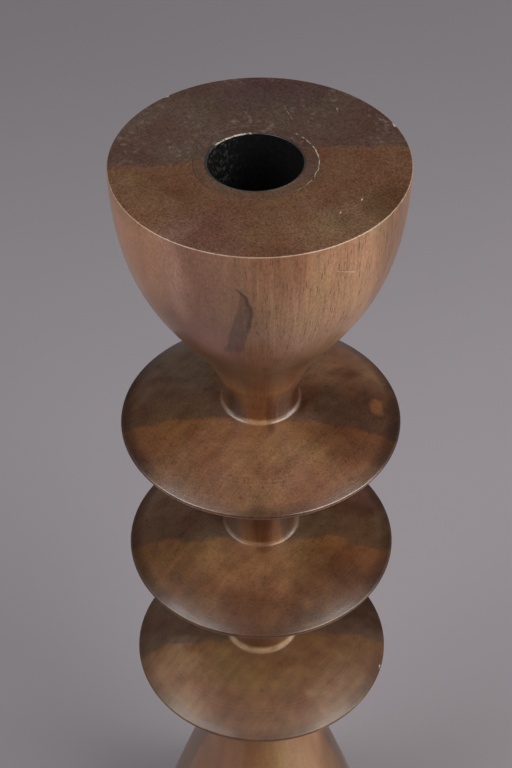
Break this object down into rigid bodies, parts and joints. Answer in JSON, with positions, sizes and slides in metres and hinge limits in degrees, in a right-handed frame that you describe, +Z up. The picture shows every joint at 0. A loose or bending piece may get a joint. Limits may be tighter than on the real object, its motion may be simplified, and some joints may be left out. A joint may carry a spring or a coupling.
{
  "type": "socket candle stand",
  "caption": "Turned walnut candle stand: a flat-topped cup with a metal-lined candle socket, a stem of lens-shaped discs on necks, and a bell base on a felt pad.",
  "frame": {"origin": "middle of the underside, on the surface that the stand rests on", "axes": "+Z up along the stem; +X to the right and +Y to the rear, seen from the front of the picture"},
  "size_m": [0.0726, 0.0726, 0.282],
  "materials": {
    "walnut": "satin clear finish over warm brown walnut with a darker, greyer streak at the rear",
    "bush_walnut": "dull, rubbed wood ring",
    "dowel_birch": "bare pale hardwood, hidden",
    "black_metal": "black painted sheet metal, worn to grey at the lip",
    "felt": "dark green pressed felt"
  },
  "bodies": {
    "stand": {"candle_cup": "walnut", "upper_disc": "walnut", "middle_disc": "walnut", "lower_disc": "walnut", "base": "walnut", "cup_dowel": "dowel_birch", "upper_dowel": "dowel_birch", "middle_dowel": "dowel_birch", "lower_dowel": "dowel_birch", "socket_bush": "bush_walnut", "base_pad": "felt"},
    "liner": {"candle_liner": "black_metal"}
  },
  "joints": [
    {"name": "liner_lift", "type": "slide", "parent": "stand", "child": "liner", "axis": [0, 0, 1], "range_m": [0, 0.025]}
  ]
}
